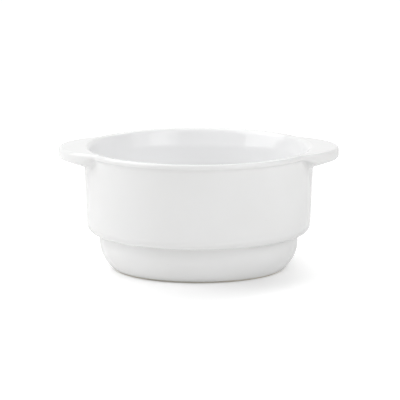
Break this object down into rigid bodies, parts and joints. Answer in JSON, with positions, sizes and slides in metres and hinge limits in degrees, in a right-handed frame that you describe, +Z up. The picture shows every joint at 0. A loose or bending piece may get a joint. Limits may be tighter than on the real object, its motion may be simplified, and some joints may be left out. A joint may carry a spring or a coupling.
{
  "type": "soup crock",
  "caption": "Round white glazed soup crock with a stepped stacking base, a rolled rim and flat lug handles, for baking and serving onion soup.",
  "frame": {"origin": "centre of the foot ring on the table", "axes": "+Z up along the axis of the bowl, +X out through the right lug, +Y away from the viewer of the picture"},
  "size_m": [0.1458, 0.1224, 0.064],
  "materials": {
    "glaze": "gloss",
    "biscuit": "matte"
  },
  "bodies": {
    "root": {"bowl": "glaze", "foot_ring": "biscuit", "left_lug": "glaze", "right_lug": "glaze", "left_slip": "glaze", "right_slip": "glaze"}
  },
  "joints": []
}
